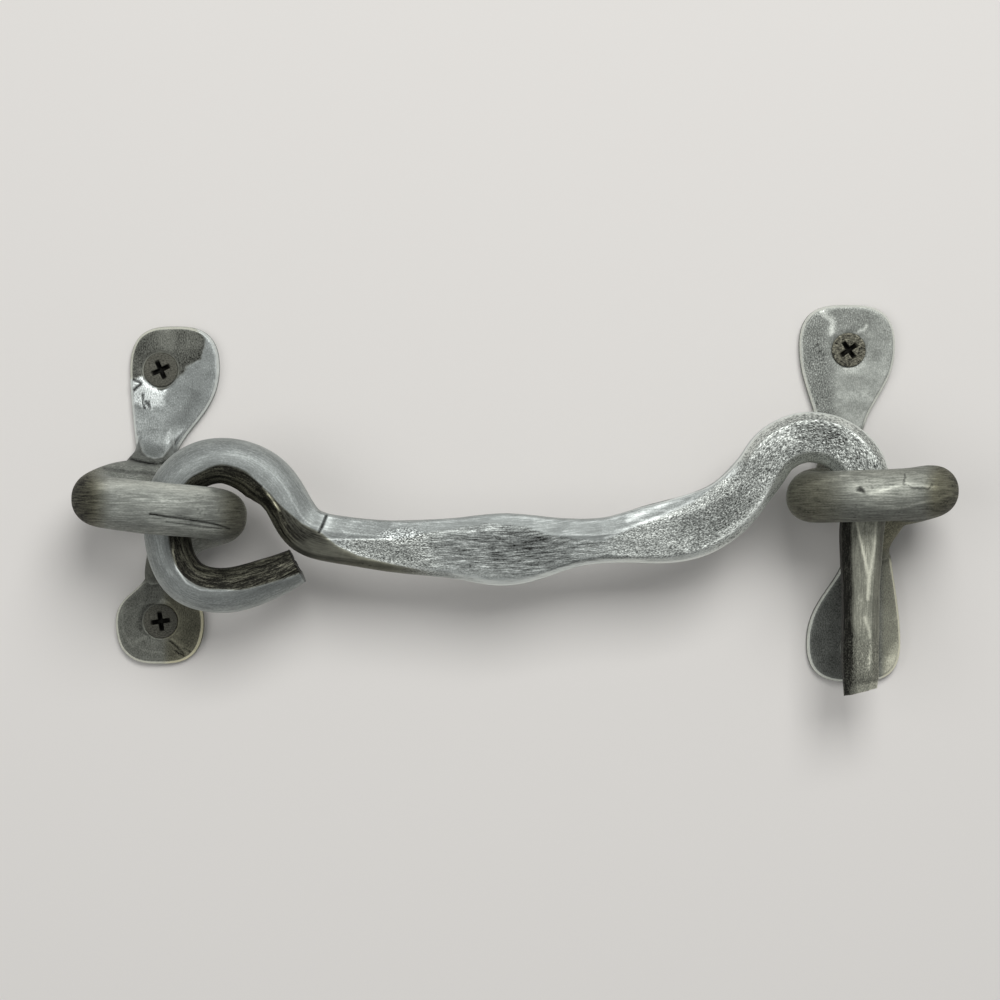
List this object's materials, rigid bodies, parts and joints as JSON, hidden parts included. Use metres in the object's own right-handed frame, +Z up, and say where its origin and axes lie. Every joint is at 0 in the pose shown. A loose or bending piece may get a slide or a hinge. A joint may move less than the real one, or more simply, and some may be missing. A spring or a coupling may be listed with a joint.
{
  "type": "gate hook latch",
  "caption": "Forged gate hook with an eye, hammered bar and drop pin, held between ring staples with screwed leaf plates.",
  "frame": {"origin": "on the wall face, midway between the two screws of the left staple", "axes": "+X along the hook from its eye to its drop pin, +Y into the wall, +Z up"},
  "size_m": [0.1768, 0.0584, 0.0794],
  "materials": {
    "forged_steel": "hand forged, wire brushed and waxed, pewter grey with dark scale in the hollows",
    "screw_steel": "dark weathered steel with a rough head"
  },
  "bodies": {
    "fixings": {"left_staple": "forged_steel", "right_staple": "forged_steel", "left_upper_screw": "screw_steel", "left_lower_screw": "screw_steel", "right_upper_screw": "screw_steel", "right_lower_screw": "screw_steel"},
    "hook": {"hook": "forged_steel"}
  },
  "joints": [
    {"name": "hook_lift", "type": "hinge", "parent": "fixings", "child": "hook", "pos_m": [0.01425, -0.0185, -0.004], "axis": [0, -1, 0], "range_deg": [0, 105]}
  ]
}
